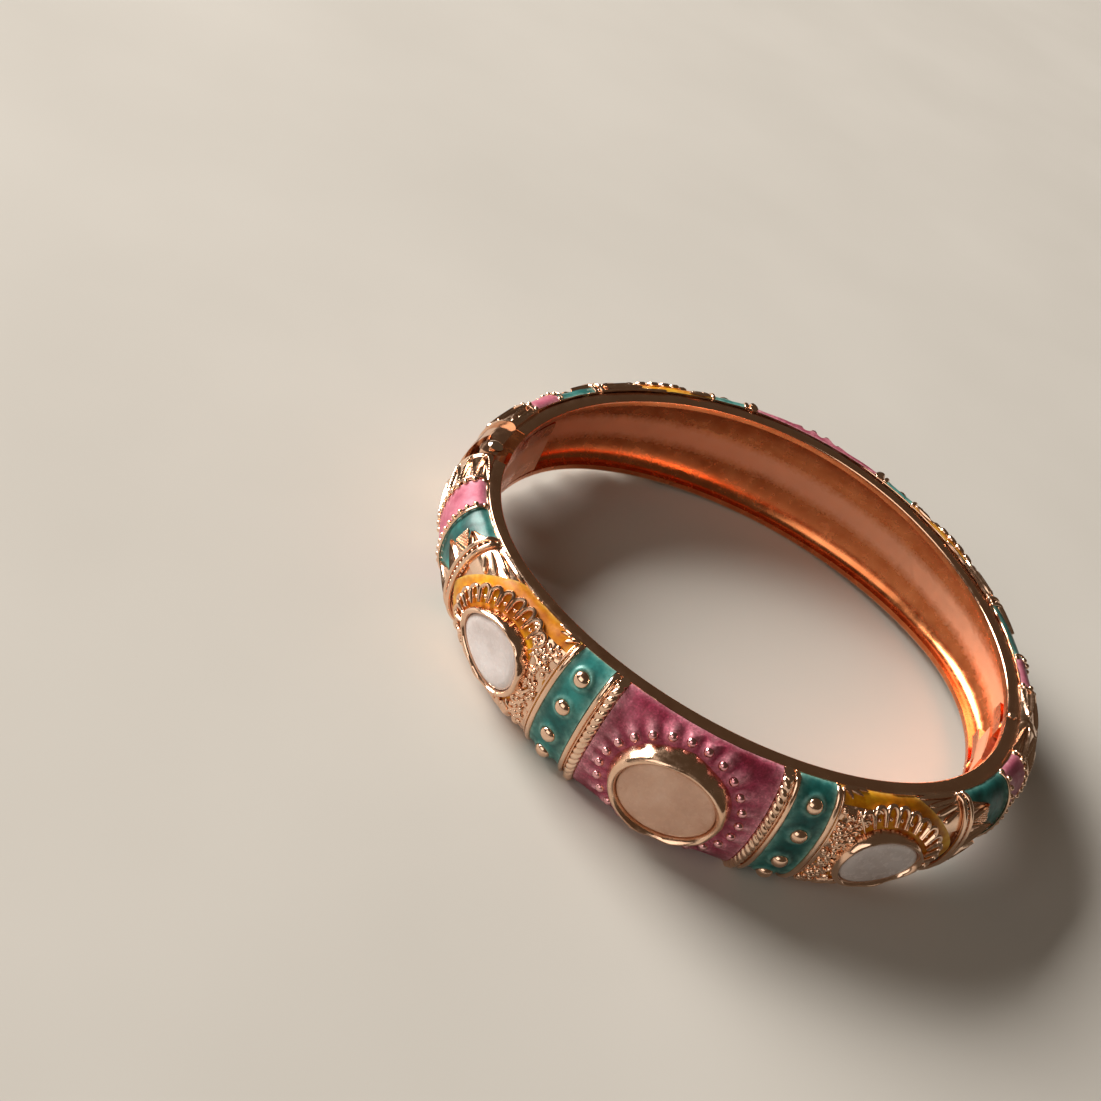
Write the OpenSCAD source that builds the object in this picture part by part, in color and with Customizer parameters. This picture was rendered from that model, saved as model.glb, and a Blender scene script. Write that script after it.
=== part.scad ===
// Hinged enamel bangle: two cast half bands with enamel fields, set stones,
// a pinned hinge at -X and a spring clip closure at +X.
// The axis of the wrist opening is Z, and the bangle lies on its rims at z = 0.

/* [Wrist opening] */
// Wrist opening along X, between hinge and closure
opening_length = 59; // [56:0.5:64]
// Wrist opening along Y
opening_width = 53; // [51:0.5:56]

/* [Band] */
// Height of the band at the middle of each half
band_height_middle = 13.6; // [12:0.1:15]
// Height of the band at the hinge and at the closure
band_height_ends = 9; // [8.5:0.1:10]
// Width of the flat rim face
rim_width = 1.4; // [1:0.1:1.8]
// Height of the cast band's dome above the inner edge of the rim
ground_crest = 4.3; // [4:0.1:4.6]
// Depth of the hollow channel on the wrist side
channel_depth = 2; // [1.5:0.1:2.2]
// Width of the flat land beside each rim on the wrist side
land_width = 0.9; // [0.6:0.1:1.2]

/* [Enamel fields, as distances along the inner oval from the middle of a half] */
// Edge of the centre panel
centre_edge = 7.5; // [7:0.1:8]
// Stud panel, inner edge
stud_start = 9.3; // [9:0.1:9.6]
// Stud panel, outer edge
stud_end = 12.6; // [12:0.1:13]
// Leaf panel, inner edge
leaf_start = 13.3; // [13:0.1:13.6]
// Rounded far edge of the leaf panel where it meets the rims
leaf_end_at_rim = 21.7; // [21:0.1:24]
// Rounded far edge of the leaf panel at the crest of the band
leaf_end_at_crest = 26.9; // [26:0.1:27]
// Beaded divider where it meets the rims
arch_at_rim = 26.4; // [26:0.1:27]
// Beaded divider at the crest of the band
arch_at_crest = 27; // [27:0.1:27.4]
// Pink band, inner edge
pink_start = 34.9; // [34.5:0.1:35.5]
// Pink band, outer edge
pink_end = 38.3; // [38:0.1:38.5]
// How much nearer to the middle of a half the pink band beside the hinge lies
hinge_pink_shift = 2.2; // [0:0.1:2.4]
// How much nearer to the middle of a half the points beside the hinge end
hinge_tip_shift = 1.2; // [0:0.1:1.4]
// Height of the enamel surface above the inner edge of the rim
enamel_crest = 4.8; // [4.6:0.05:5]
// Height of the metal dividers above the inner edge of the rim
metal_crest = 5.2; // [5:0.05:5.4]

/* [Stones] */
// Length of the centre stone along the band
centre_stone_length = 9.9; // [9.5:0.1:11]
// Height of the centre stone across the band
centre_stone_height = 8.3; // [8:0.1:8.6]
// Distance of the side stones from the middle of a half
side_stone_at = 19.2; // [18.8:0.1:19.6]
// Length of a side stone along the band
side_stone_length = 8.5; // [8:0.1:9]
// Height of a side stone across the band
side_stone_height = 6.3; // [6:0.1:7]
// How much narrower a side stone is at its outer end
side_stone_taper = 0.2; // [0.1:0.05:0.25]
// Wall of the centre stone's bezel
centre_wall = 0.95; // [0.8:0.05:1.1]
// Wall of a side stone's bezel
side_wall = 0.6; // [0.5:0.05:0.7]

/* [Hinge] */
// Distance of the hinge axis outside the inner rim edge
pivot_out = 1.9; // [1.8:0.05:2.1]
// Offset of the hinge axis from the long axis of the opening
pivot_y = -1.4; // [-1.6:0.1:-1.2]
// Radius of the hinge barrel
barrel_r = 1.55; // [1.4:0.05:1.7]
// Radius of the hinge pin
hinge_pin_r = 0.6; // [0.5:0.05:0.7]
// Distance along the inner oval where the block's plug in the back half's channel ends
plug_end = 34.3; // [33:0.1:36]

/* [Closure] */
// Distance of the closure pin outside the inner rim edge
closure_pin_out = 0.55; // [0.5:0.05:0.7]
// Radius of the closure pin
closure_pin_r = 0.4; // [0.35:0.01:0.42]

/* [Hidden] */
$fn = 64;
// Oval opening built from four tangent arcs
half_x = opening_length / 2;
half_y = opening_width / 2;
end_centre = 5;
end_radius = half_x - end_centre;
side_centre = (pow(end_centre, 2) - pow(half_y - end_radius, 2)) / (2 * (half_y - end_radius));
side_radius = half_y + side_centre;
turn_angle = atan2(end_centre, side_centre);
side_arc = side_radius * turn_angle * PI / 180;
quarter_arc = side_arc + end_radius * (90 - turn_angle) * PI / 180;

z_mid = band_height_middle / 2;
half_height_ends = band_height_ends / 2;
half_height_middle = band_height_middle / 2;
dome_power = 2.2;
channel_power = 3;
solder = 0.05;

// Ends of the half bands, along the inner oval
closure_end = quarter_arc - 0.05;
front_hinge_end = 40.5;
back_hinge_end = 41;

// Width of one ridge, and heights of the set pieces above the inner edge of the rim
ridge = 0.55;
arch = [arch_at_rim, arch_at_crest];
leaf_end = [leaf_end_at_rim, leaf_end_at_crest];
centre_bezel_top = 5.9;
side_bezel_top = 5.6;
bead_r = 0.45;
stud_r = 0.8;

pivot = [-half_x - pivot_out, pivot_y];
closure_pin_x = half_x + closure_pin_out;
// Half height of the front half's knuckle, and its play between the block's two ears
knuckle_half = 1.45;
knuckle_gap = 0.15;
// Play around a pin in a part that turns or slides on it, and in a part that is riveted to it
running_fit = 0.05;
rivet_fit = 0.01;

// Angle of the outward normal from -Y at distance s along the front half's inner oval
function normal_angle(s) = sign(s) * (abs(s) <= side_arc ? abs(s) / side_radius * 180 / PI
    : turn_angle + (abs(s) - side_arc) / end_radius * 180 / PI);
function arc_centre(s) = abs(s) <= side_arc ? [0, side_centre] : [sign(s) * end_centre, 0];
function arc_radius(s) = abs(s) <= side_arc ? side_radius : end_radius;
// Point on the front half, u outside the inner oval
function band_point(s, u) = let (a = normal_angle(s), r = arc_radius(s) + u)
    arc_centre(s) + r * [sin(a), -cos(a)];
function half_height(s) = half_height_ends
    + (half_height_middle - half_height_ends) * (1 - pow(band_point(s, 0)[0] / half_x, 2));
// Dome of the band at v = -1 (low rim) to 1 (high rim)
function dome(v, crest) = rim_width
    + (crest - rim_width) * pow(max(0, 1 - pow(abs(v), dome_power)), 1 / dome_power);
function space_point(s, v, u) = let (p = band_point(s, u)) [p[0], p[1], z_mid + v * half_height(s)];

// Section of the cast band: dome, rim, land, channel, land, rim, as [u, height above the middle]
dome_steps = 14;
channel_steps = 8;
function dome_v(i) = sin(-90 + 180 * i / dome_steps);
function band_section(s) = let (h = half_height(s), c = h - land_width) concat(
    [for (i = [0 : dome_steps]) [dome(dome_v(i), ground_crest), dome_v(i) * h]],
    [[0, h]],
    [for (i = [0 : channel_steps]) let (w = sin(90 - 180 * i / channel_steps))
        [channel_depth * pow(max(0, 1 - pow(abs(w), channel_power)), 1 / channel_power), w * c]],
    [[0, -h]]);

function sweep_faces(rings, sides) = concat(
    [for (i = [0 : rings - 2], j = [0 : sides - 1]) let (k = (j + 1) % sides)
        each [[i * sides + j, i * sides + k, (i + 1) * sides + j],
            [i * sides + k, (i + 1) * sides + k, (i + 1) * sides + j]]],
    [[for (j = [sides - 1 : -1 : 0]) j]],
    [[for (j = [0 : sides - 1]) (rings - 1) * sides + j]]);

// Cast band between two distances along the inner oval
module cast_band(start, end, rings) {
    sections = [for (i = [0 : rings - 1]) let (s = start + (end - start) * i / (rings - 1))
        [for (p = band_section(s)) let (q = band_point(s, p[0])) [q[0], q[1], z_mid + p[1]]]];
    polyhedron([for (ring = sections) each ring], sweep_faces(rings, len(sections[0])), convexity = 8);
}

// Layer on the dome between heights low and high. A lower and an upper edge are given as
// [distance at the rims, distance at the crest]; v_edge is how far it runs towards the rims.
function edge_at(edge, v) = edge[1] + (edge[0] - edge[1]) * pow(abs(v), 2);
module dome_layer(edge_a, edge_b, low, high, v_edge = 0.9, across = 10, along = 2) {
    nv = across + 1;
    ns = along + 1;
    function grid(crest) = [for (i = [0 : along], j = [0 : across])
        let (v = v_edge * sin(-90 + 180 * j / across), t = i / along,
            s = edge_at(edge_a, v) * (1 - t) + edge_at(edge_b, v) * t)
        space_point(s, v, dome(v, crest))];
    top = len(grid(low));
    function quad(a, b, c, d) = [[a, b, c], [a, c, d]];
    sheet = [for (i = [0 : along - 1], j = [0 : across - 1])
        each quad(i * nv + j, (i + 1) * nv + j, (i + 1) * nv + j + 1, i * nv + j + 1)];
    outer = [for (f = sheet) [f[0] + top, f[2] + top, f[1] + top]];
    rim_loop = concat([for (j = [0 : across - 1]) j],
        [for (i = [0 : along - 1]) i * nv + across],
        [for (j = [across : -1 : 1]) along * nv + j],
        [for (i = [along : -1 : 1]) i * nv]);
    n = len(rim_loop);
    walls = [for (k = [0 : n - 1]) each quad(rim_loop[k], rim_loop[(k + 1) % n],
        rim_loop[(k + 1) % n] + top, rim_loop[k] + top)];
    polyhedron(concat(grid(low), grid(high)), concat(sheet, outer, walls), convexity = 4);
}

// Puts children on the front half at distance s: local X along the band, Y up, Z outward
module on_band(s, u) {
    p = band_point(s, u);
    translate([p[0], p[1], z_mid]) rotate([90, 0, normal_angle(s)]) children();
}
module half(side) {
    if (side == "front") children();
    else mirror([0, 1, 0]) children();
}
// Children on the hinge side of the half's middle, with $sign -1, and on its closure side, with 1
module both_sides() {
    for ($sign = [-1, 1]) children();
}
function at_pink(s) = $sign < 0 ? s - hinge_pink_shift : s;
module oval(length, height) {
    polygon([for (a = [0 : 7.5 : 352.5]) [length / 2 * cos(a), height / 2 * sin(a)]]);
}
module egg(length, height, taper) {
    polygon([for (a = [0 : 7.5 : 352.5])
        [length / 2 * cos(a), height / 2 * sin(a) * (1 - taper * cos(a))]]);
}

// ---- Cast half bands
module shell(side) {
    hinge_end = side == "front" ? front_hinge_end : back_hinge_end;
    color([0.78, 0.5, 0.38]) half(side) difference() {
        cast_band(-hinge_end, closure_end, 40);
        translate([closure_pin_x, 0, 0]) cylinder(r = closure_pin_r + running_fit, h = band_height_middle);
    }
}

// ---- Enamel fields
module centre_enamel(side) {
    color([0.62, 0.25, 0.45]) half(side) difference() {
        dome_layer([-centre_edge, -centre_edge], [centre_edge, centre_edge],
            ground_crest - solder, enamel_crest, 0.9, 10, 6);
        on_band(0, 0) linear_extrude(2 * enamel_crest)
            oval(centre_stone_length + 2 * centre_wall, centre_stone_height + 2 * centre_wall);
    }
}
// Layer between two edges on the side of the half's middle that $sign gives
module signed_layer(edge_a, edge_b, high, v_edge, along) {
    dome_layer($sign > 0 ? edge_a : -edge_b, $sign > 0 ? edge_b : -edge_a,
        ground_crest - solder, high, v_edge, 10, along);
}
module field(edge_a, edge_b, along) {
    signed_layer(edge_a, edge_b, enamel_crest, 0.9, along);
}
module stud_enamel(side) {
    color([0.12, 0.5, 0.5]) half(side) both_sides()
        field([stud_start, stud_start], [stud_end, stud_end], 2);
}
module leaf_enamel(side) {
    color([0.85, 0.6, 0.08]) half(side) both_sides() difference() {
        field([leaf_start, leaf_start], leaf_end, 6);
        on_band($sign * side_stone_at, 0) linear_extrude(2 * enamel_crest)
            egg(side_stone_length + 2 * side_wall, side_stone_height + 2 * side_wall,
                side_stone_taper * $sign);
    }
}
module point_enamel(side) {
    color([0.12, 0.5, 0.5]) half(side) both_sides()
        field(arch + 2 * ridge * [1, 1], at_pink(pink_start - ridge) * [1, 1], 5);
}
module pink_enamel(side) {
    color([0.85, 0.45, 0.62]) half(side) both_sides()
        field(at_pink(pink_start) * [1, 1], at_pink(pink_end) * [1, 1], 2);
}

// ---- Stones and their settings
module setting_ring(length, height, taper, wall, top) {
    difference() {
        egg_block(length + 2 * wall, height + 2 * wall, taper, ground_crest - 1, top);
        egg_block(length, height, taper, ground_crest - 2, top + 1);
    }
}
module egg_block(length, height, taper, low, high) {
    translate([0, 0, low]) linear_extrude(high - low) egg(length, height, taper);
}
module centre_bezel(side) {
    color([0.8, 0.5, 0.36]) half(side) {
        on_band(0, 0) setting_ring(centre_stone_length, centre_stone_height, 0, centre_wall,
            centre_bezel_top);
        bead_ring(centre_stone_length / 2 + centre_wall + 0.9, centre_stone_height / 2 + centre_wall + 0.6);
    }
}
// Grains around the centre bezel, each sitting on the enamel
module bead_ring(a, b, count = 24) {
    to_inner_oval = side_radius / (side_radius + enamel_crest);
    for (i = [0 : count - 1]) {
        s = a * cos(360 * i / count) * to_inner_oval;
        v = b * sin(360 * i / count) / half_height(s);
        translate(space_point(s, v, dome(v, enamel_crest))) sphere(r = bead_r, $fn = 16);
    }
}
// Flat stone with a stepped edge: girdle height, then a top set in by edge and raised by rise
module stepped_stone(length, height, taper, girdle, edge, rise) {
    egg_block(length, height, taper, ground_crest, girdle);
    egg_block(length - 2 * edge, height - 2 * edge, taper, girdle, girdle + rise);
}
module centre_stone(side) {
    color([0.8, 0.62, 0.55]) half(side) on_band(0, 0) {
        stepped_stone(centre_stone_length, centre_stone_height, 0, centre_bezel_top - 0.4, 0.4, 0.25);
    }
}
module side_bezels(side) {
    color([0.8, 0.5, 0.36]) half(side) both_sides() on_band($sign * side_stone_at, 0)
        setting_ring(side_stone_length, side_stone_height, side_stone_taper * $sign, side_wall,
            side_bezel_top);
}
module side_stones(side) {
    color([0.92, 0.9, 0.88]) half(side) both_sides() on_band($sign * side_stone_at, 0)
        stepped_stone(side_stone_length, side_stone_height, side_stone_taper * $sign,
            side_bezel_top - 0.3, 0.6, 0.4);
}

// ---- Raised metalwork on the band
module metal_strip(edge_a, edge_b) {
    signed_layer(edge_a, edge_b, metal_crest, 0.94, 1);
}
module rope_borders(side) {
    color([0.8, 0.5, 0.36]) half(side) both_sides()
        metal_strip([centre_edge, centre_edge], [stud_start, stud_start]);
}
module dividers(side) {
    color([0.8, 0.5, 0.36]) half(side) both_sides() {
        metal_strip([stud_end, stud_end], [leaf_start, leaf_start]);
        metal_strip(arch, arch + 2 * ridge * [1, 1]);
        metal_strip(at_pink(pink_start - ridge) * [1, 1], at_pink(pink_start) * [1, 1]);
        metal_strip(at_pink(pink_end) * [1, 1], at_pink(pink_end + ridge) * [1, 1]);
    }
}
// Four domed studs in a row across each stud panel
module enamel_studs(side) {
    color([0.85, 0.55, 0.4]) half(side) both_sides() for (v = [-0.8, -0.28, 0.24, 0.76]) {
        s = $sign * (stud_start + stud_end) / 2;
        translate(space_point(s, v, dome(v, enamel_crest))) sphere(r = stud_r, $fn = 24);
    }
}
// Four ribbed points in a row standing in the teal panel, aimed at the pink band.
// Each is given as [v, half its width in v, distance of its tip].
module relief_points(side) {
    points = [[-0.8, 0.17, 30.7], [-0.27, 0.25, 31.4], [0.27, 0.25, 31.4], [0.8, 0.17, 30.7]];
    color([0.8, 0.5, 0.36]) half(side) both_sides() for (p = points) {
        tip = $sign < 0 ? p[2] - hinge_tip_shift : p[2];
        relief_wedge($sign * (edge_at(arch, p[0]) + 2 * ridge), $sign * tip, p[0], p[1]);
    }
}
module relief_wedge(base, tip, v, spread) {
    function corner(s, w, crest) = space_point(s, w, dome(w, crest));
    low = ground_crest - solder;
    high = metal_crest;
    polyhedron([corner(base, v - spread, low), corner(base, v + spread, low), corner(tip, v, low),
        corner(base, v - spread, high), corner(base, v + spread, high), corner(tip, v, high)],
        base < tip ? [[0, 2, 1], [3, 4, 5], [0, 1, 4, 3], [1, 2, 5, 4], [2, 0, 3, 5]]
            : [[0, 1, 2], [3, 5, 4], [0, 3, 4, 1], [1, 4, 5, 2], [2, 5, 3, 0]]);
}
module end_caps(side) {
    hinge_end = side == "front" ? front_hinge_end : back_hinge_end;
    color([0.8, 0.5, 0.36]) half(side) both_sides()
        signed_layer(at_pink(pink_end + ridge) * [1, 1], ($sign < 0 ? hinge_end : closure_end) * [1, 1],
            metal_crest - 0.2, 0.94, 3);
}

// ---- Hinge
// Solid piece of the end of the band, following its dome, between two turns about the end centre
module hinge_sector(from_angle, to_angle) {
    points = concat([[end_radius, -half_height_ends]],
        [for (i = [0 : dome_steps]) [end_radius + dome(dome_v(i), enamel_crest),
            dome_v(i) * half_height_ends]],
        [[end_radius, half_height_ends]]);
    translate([-end_centre, 0, z_mid]) rotate([0, 0, from_angle])
        rotate_extrude(angle = to_angle - from_angle) polygon(points);
}
module at_pivot() {
    translate([pivot[0], pivot[1], z_mid]) children();
}
back_face_angle = 90 + normal_angle(back_hinge_end);
pivot_angle = 360 + atan2(pivot_y, -end_radius - pivot_out);

// Plug of the block inside the back half's channel, flush with the lands
module channel_plug() {
    play = 0.05;
    half = half_height_ends - land_width - play;
    depth = channel_depth - play;
    profile = [for (i = [0 : channel_steps]) let (w = sin(90 - 180 * i / channel_steps))
        [end_radius + depth * pow(max(0, 1 - pow(abs(w), channel_power)), 1 / channel_power), w * half]];
    translate([-end_centre, 0, z_mid]) rotate([0, 0, 90 + normal_angle(plug_end)])
        rotate_extrude(angle = normal_angle(back_hinge_end) - normal_angle(plug_end) + 0.1, $fn = 180)
            polygon(profile);
}
module back_hinge_block() {
    ear_end_angle = 200;
    knuckle_room = 2.2;
    crescent = 1;
    crescent_from = 120;
    crescent_angle = 80;
    color([0.8, 0.5, 0.36]) {
        channel_plug();
        difference() {
            intersection() {
                hinge_sector(back_face_angle, ear_end_angle);
                union() {
                    hinge_sector(back_face_angle, pivot_angle);
                    at_pivot() cylinder(r = barrel_r, h = band_height_ends, center = true);
                }
            }
            // room for the front half's knuckle
            at_pivot() cylinder(r = knuckle_room, h = 2 * (knuckle_half + knuckle_gap), center = true);
            // crescent of clearance between the barrel and the outer cover
            at_pivot() rotate([0, 0, crescent_from]) rotate_extrude(angle = crescent_angle)
                translate([barrel_r, -half_height_middle]) square([crescent, band_height_middle]);
            at_pivot() cylinder(r = hinge_pin_r + rivet_fit, h = band_height_ends + 1, center = true);
        }
    }
}
// Barrel on the hinge pin, with a strap that is soldered inside the front half's channel
module front_hinge_knuckle() {
    strap_inner = end_radius + 0.1;
    strap_outer = end_radius + 1.9;
    strap_end_y = -6.6;
    color([0.78, 0.48, 0.34]) difference() {
        union() {
            at_pivot() cylinder(r = barrel_r, h = 2 * knuckle_half, center = true);
            translate([-end_centre, 0, z_mid]) intersection() {
                difference() {
                    cylinder(r = strap_outer, h = 2 * knuckle_half, center = true);
                    cylinder(r = strap_inner, h = 3 * knuckle_half, center = true);
                }
                translate([-strap_outer - 1, strap_end_y, -knuckle_half])
                    cube([strap_outer, pivot_y - strap_end_y, 2 * knuckle_half]);
            }
        }
        at_pivot() cylinder(r = hinge_pin_r + running_fit, h = band_height_ends, center = true);
    }
}
// Pin between two riveted heads: each head is the cap of a ball, cap high, on the end of the pin
module riveted_pin(pin_r, ball_r, cap) {
    end = half_height_ends + 0.05;
    cylinder(r = pin_r, h = 2 * end, center = true);
    for (sign = [-1, 1]) translate([0, 0, sign * end]) intersection() {
        translate([0, 0, sign * (cap - ball_r)]) sphere(r = ball_r);
        translate([-1, -1, sign > 0 ? 0 : -1]) cube([2, 2, 1]);
    }
}
module hinge_pin() {
    color([0.9, 0.65, 0.5]) at_pivot() riveted_pin(hinge_pin_r, 1.15, 0.4);
}

// ---- Closure
// Piece of a ring about the end centre, between two heights above the inner edge and two y
module end_ring(low, high, from_y, to_y, half_h) {
    room = 4;
    translate([end_centre, 0, z_mid]) intersection() {
        difference() {
            cylinder(r = end_radius + high, h = 2 * half_h, center = true);
            cylinder(r = end_radius + low, h = 3 * half_h, center = true);
        }
        translate([end_radius - room, from_y, -half_h]) cube([2 * room, to_y - from_y, 2 * half_h]);
    }
}
// Two ears on the back half that hold the closure pin, each with a foot soldered in the channel
module closure_lugs() {
    lug_at = 2.2;
    lug_half = 0.7;
    front_y = -0.8;
    foot_y = 0.5;
    back_y = 3.5;
    color([0.78, 0.48, 0.34]) for (sign = [-1, 1]) difference() {
        translate([0, 0, sign * lug_at]) {
            end_ring(0.05, 1.3, front_y, back_y, lug_half);
            end_ring(1.2, 1.7, foot_y, back_y, lug_half);
        }
        translate([closure_pin_x, 0, 0]) cylinder(r = closure_pin_r + rivet_fit, h = band_height_middle);
    }
}
module closure_pin() {
    color([0.9, 0.65, 0.5]) translate([closure_pin_x, 0, z_mid]) riveted_pin(closure_pin_r, 0.55, 0.25);
}
// Sprung tongue of the front half: its open slot grips the closure pin
module spring_clip() {
    grip = closure_pin_r + running_fit;
    clip_half = 1.35;
    end_y = -5;
    tip_y = 0.8;
    foot_y = -2.5;
    color([0.78, 0.48, 0.34]) difference() {
        union() {
            end_ring(-0.25, 1.4, end_y, tip_y, clip_half);
            end_ring(1, 1.95, end_y, foot_y, clip_half);
        }
        translate([closure_pin_x, 0, 0]) cylinder(r = grip, h = band_height_middle);
        translate([closure_pin_x - grip, 0, 0]) cube([2 * grip, 2, band_height_middle]);
    }
}

shell("back");  // back_shell
centre_enamel("back");  // back_centre_enamel
stud_enamel("back");  // back_stud_enamel
leaf_enamel("back");  // back_leaf_enamel
point_enamel("back");  // back_point_enamel
pink_enamel("back");  // back_pink_enamel
centre_bezel("back");  // back_centre_bezel
centre_stone("back");  // back_centre_stone
side_bezels("back");  // back_side_bezels
side_stones("back");  // back_side_stones
rope_borders("back");  // back_rope_borders
dividers("back");  // back_dividers
enamel_studs("back");  // back_enamel_studs
relief_points("back");  // back_relief_points
end_caps("back");  // back_end_caps
shell("front");  // front_shell
centre_enamel("front");  // front_centre_enamel
stud_enamel("front");  // front_stud_enamel
leaf_enamel("front");  // front_leaf_enamel
point_enamel("front");  // front_point_enamel
pink_enamel("front");  // front_pink_enamel
centre_bezel("front");  // front_centre_bezel
centre_stone("front");  // front_centre_stone
side_bezels("front");  // front_side_bezels
side_stones("front");  // front_side_stones
rope_borders("front");  // front_rope_borders
dividers("front");  // front_dividers
enamel_studs("front");  // front_enamel_studs
relief_points("front");  // front_relief_points
end_caps("front");  // front_end_caps
back_hinge_block();
front_hinge_knuckle();
hinge_pin();
closure_lugs();
closure_pin();
spring_clip();
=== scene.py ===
import math

import bmesh
import bpy
import numpy as np
from mathutils import Matrix, Vector


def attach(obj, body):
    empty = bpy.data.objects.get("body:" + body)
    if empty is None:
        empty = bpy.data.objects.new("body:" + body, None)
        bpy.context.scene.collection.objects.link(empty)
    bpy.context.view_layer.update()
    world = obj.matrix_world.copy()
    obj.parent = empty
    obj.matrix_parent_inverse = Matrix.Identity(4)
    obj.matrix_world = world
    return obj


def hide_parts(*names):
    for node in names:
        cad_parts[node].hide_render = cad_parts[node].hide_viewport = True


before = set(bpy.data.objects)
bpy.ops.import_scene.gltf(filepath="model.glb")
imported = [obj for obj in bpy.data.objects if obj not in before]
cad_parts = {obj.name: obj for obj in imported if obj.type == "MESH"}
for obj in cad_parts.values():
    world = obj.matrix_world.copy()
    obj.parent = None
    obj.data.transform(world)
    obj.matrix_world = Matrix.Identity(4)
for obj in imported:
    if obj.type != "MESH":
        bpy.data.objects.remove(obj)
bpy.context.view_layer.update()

# Lengths in this script are millimetres, and a mesh is scaled to metres when it is made.
MM = 0.001
RNG = np.random.default_rng(7)

# ---------------------------------------------------------------- driving dimensions
HALF_X, HALF_Y = 29.5, 26.5            # half of the wrist opening along X and Y
END_CENTRE = 5.0                       # centre of the end arcs of the oval
HEIGHT_MIDDLE, HEIGHT_ENDS = 6.8, 4.5  # half of the band's height
Z_MID = HEIGHT_MIDDLE
RIM = 1.4                              # width of the flat rim face
BASE = 4.45                            # crest of the cast band above the inner rim edge
CHANNEL, LAND = 2.0, 0.9               # depth of the hollow channel and width of its lands
DOME_POWER, CHANNEL_POWER = 2.2, 3.0

CENTRE_EDGE, STUD_START, STUD_END, LEAF_START = 7.5, 9.3, 12.6, 13.3
ARCH_RIM, ARCH_CREST = 26.4, 27.0
LEAF_RIM, LEAF_CREST = 20.4, 26.9
PINK_START, PINK_END = 34.9, 38.3
PINK_SHIFT, TIP_SHIFT = 2.2, 1.2       # how much nearer to the middle both lie on the hinge side
ARCH_WIDTH = 1.1
REST_GAP = 0.02                        # how far ornament stays inside the planes of the rims
SUNK = 0.3                             # how deep the layers of enamel and metal reach into the band
CLOSURE_END, HINGE_END = 43.95, {"front": 40.5, "back": 41.0}

END_RADIUS = HALF_X - END_CENTRE
RISE = HALF_Y - END_RADIUS
SIDE_CENTRE = (END_CENTRE**2 - RISE**2) / (2 * RISE)
SIDE_RADIUS = HALF_Y + SIDE_CENTRE
TURN = math.atan2(END_CENTRE, SIDE_CENTRE)
SIDE_ARC = SIDE_RADIUS * TURN


# ---------------------------------------------------------------- the band as a surface
def plan(s):
    """Centre, radius and outward normal of the inner oval at distance s from the front half's middle."""
    s = np.asarray(s, float)
    along = np.abs(s)
    on_side = along <= SIDE_ARC
    angle = np.where(on_side, along / SIDE_RADIUS, TURN + (along - SIDE_ARC) / END_RADIUS) * np.sign(s)
    centre_x = np.where(on_side, 0.0, np.sign(s) * END_CENTRE)
    centre_y = np.where(on_side, SIDE_CENTRE, 0.0)
    radius = np.where(on_side, SIDE_RADIUS, END_RADIUS)
    return centre_x, centre_y, radius, np.sin(angle), -np.cos(angle)


def half_height(s):
    centre_x, _, radius, nx, _ = plan(s)
    x = centre_x + radius * nx
    return HEIGHT_ENDS + (HEIGHT_MIDDLE - HEIGHT_ENDS) * (1 - (x / HALF_X) ** 2)


def place(s, u, z):
    """Points at distance s, u outside the inner oval and z above the middle plane."""
    centre_x, centre_y, radius, nx, ny = plan(s)
    s, u, z = np.broadcast_arrays(np.asarray(s, float), u, z)
    reach = radius + u
    return np.stack([centre_x + reach * nx, centre_y + reach * ny, Z_MID + z], -1)


def superellipse(turn, power):
    """Across and out shares of a superellipse at turn -1 to 1."""
    sine, cosine = np.sin(turn * math.pi / 2), np.cos(turn * math.pi / 2)
    return np.sign(sine) * np.abs(sine) ** (2 / power), np.abs(cosine) ** (2 / power)


def section(s, turn):
    """Dome of the cast band: u and z at distance s and turn -1 (low rim) to 1 (high rim)."""
    across, out = superellipse(np.clip(turn, -1, 1), DOME_POWER)
    return RIM + (BASE - RIM) * out, across * half_height(s)


def on_dome(s, turn, lift=0.0):
    """Points a height lift above the dome, and the dome's normals there."""
    s, turn, lift = np.broadcast_arrays(np.asarray(s, float), turn, lift)
    u, z = section(s, turn)
    step = 0.01
    u1, z1 = section(s, np.minimum(turn + step, 1))
    u0, z0 = section(s, np.maximum(turn - step, -1))
    du, dz = u1 - u0, z1 - z0
    size = np.hypot(du, dz)
    out, up = dz / size, -du / size
    _, _, _, nx, ny = plan(s)
    points = place(s, u + lift * out, z + lift * up)
    return points, np.stack([out * nx, out * ny, up], -1)


TURNS = np.linspace(-1, 1, 121)


def across_lengths(s0):
    """Lengths across the dome from its crest at distance s0, one for each of TURNS."""
    u, z = section(float(s0), TURNS)
    steps = np.hypot(np.diff(u), np.diff(z))
    arc = np.concatenate([[0], np.cumsum(steps)])
    return arc - arc[len(TURNS) // 2]


def wrap(s0, along, across):
    """s and turn of points given as lengths on the dome around its crest at distance s0."""
    along, across = np.broadcast_arrays(np.asarray(along, float), across)
    _, _, radius, _, _ = plan(s0)
    s = s0 + along * radius / (radius + BASE)
    return s, np.interp(across, across_lengths(s0), TURNS)


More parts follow.
